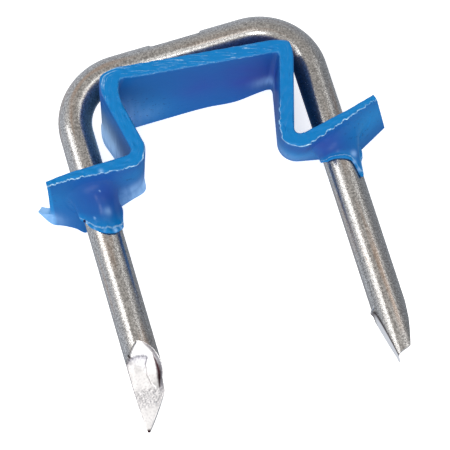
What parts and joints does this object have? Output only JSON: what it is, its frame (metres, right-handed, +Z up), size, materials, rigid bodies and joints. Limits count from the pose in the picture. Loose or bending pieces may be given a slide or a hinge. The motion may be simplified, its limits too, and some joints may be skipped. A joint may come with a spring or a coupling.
{
  "type": "insulated cable staple",
  "caption": "U-shaped steel wire staple with sheared points and a folded blue plastic saddle strip pierced by its legs, driven into wood to hold an electrical cable without cutting it.",
  "frame": {"origin": "middle of the part's outline, on the ground under the lower long edge of the saddle strip", "axes": "+X along the crown towards the right leg, +Y from the points towards the crown, +Z up across the strip's width, along the cable"},
  "size_m": [0.0246, 0.027, 0.007],
  "materials": {
    "drawn_steel_wire": "bright drawn wire, bare sheared points",
    "blue_plastic": "moulded strip, satin gloss"
  },
  "bodies": {
    "root": {"wire_staple": "drawn_steel_wire", "insulating_saddle": "blue_plastic"}
  },
  "joints": []
}
